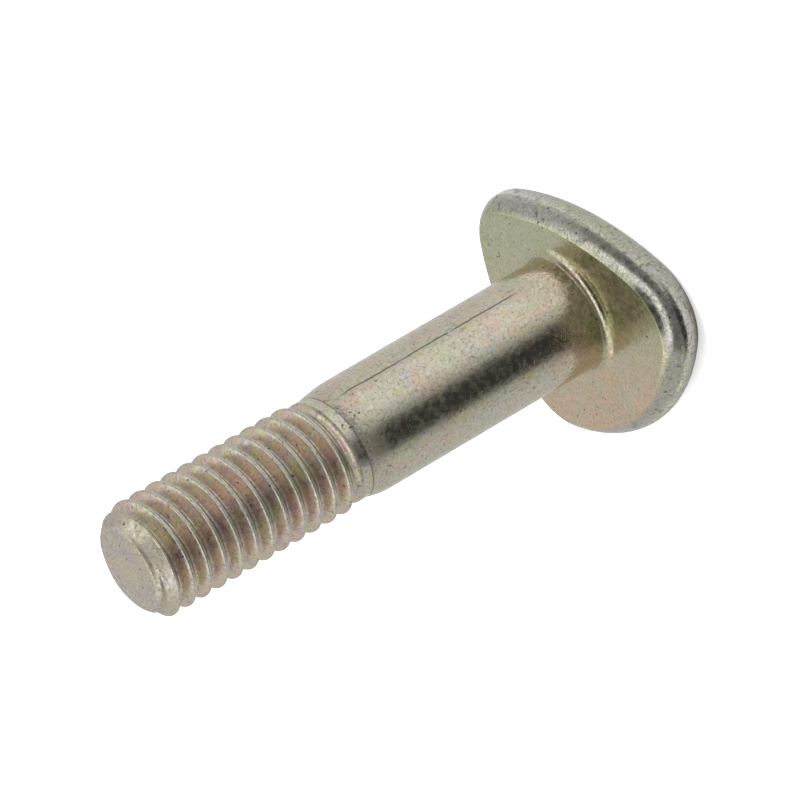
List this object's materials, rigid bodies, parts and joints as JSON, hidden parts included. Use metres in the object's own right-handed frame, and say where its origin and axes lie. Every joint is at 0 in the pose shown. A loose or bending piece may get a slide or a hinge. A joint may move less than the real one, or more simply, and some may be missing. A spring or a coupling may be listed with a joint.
{
  "type": "shoulder bolt",
  "caption": "Steel shoulder bolt with a flat three-sided rounded head, a plain cylindrical shoulder, a short neck and a threaded end with a chamfered tip.",
  "frame": {"origin": "centre of the bolt's axis on the flat top of the head, which the bolt stands on", "axes": "+Z along the bolt's axis, from the head to the threaded tip; +X faces the head's nearest side"},
  "size_m": [0.0175, 0.0201, 0.0387],
  "materials": {
    "plated_steel": "pale yellow passivated zinc plate, fine grained and faintly iridescent"
  },
  "bodies": {
    "root": {"shoulder_bolt": "plated_steel"}
  },
  "joints": []
}
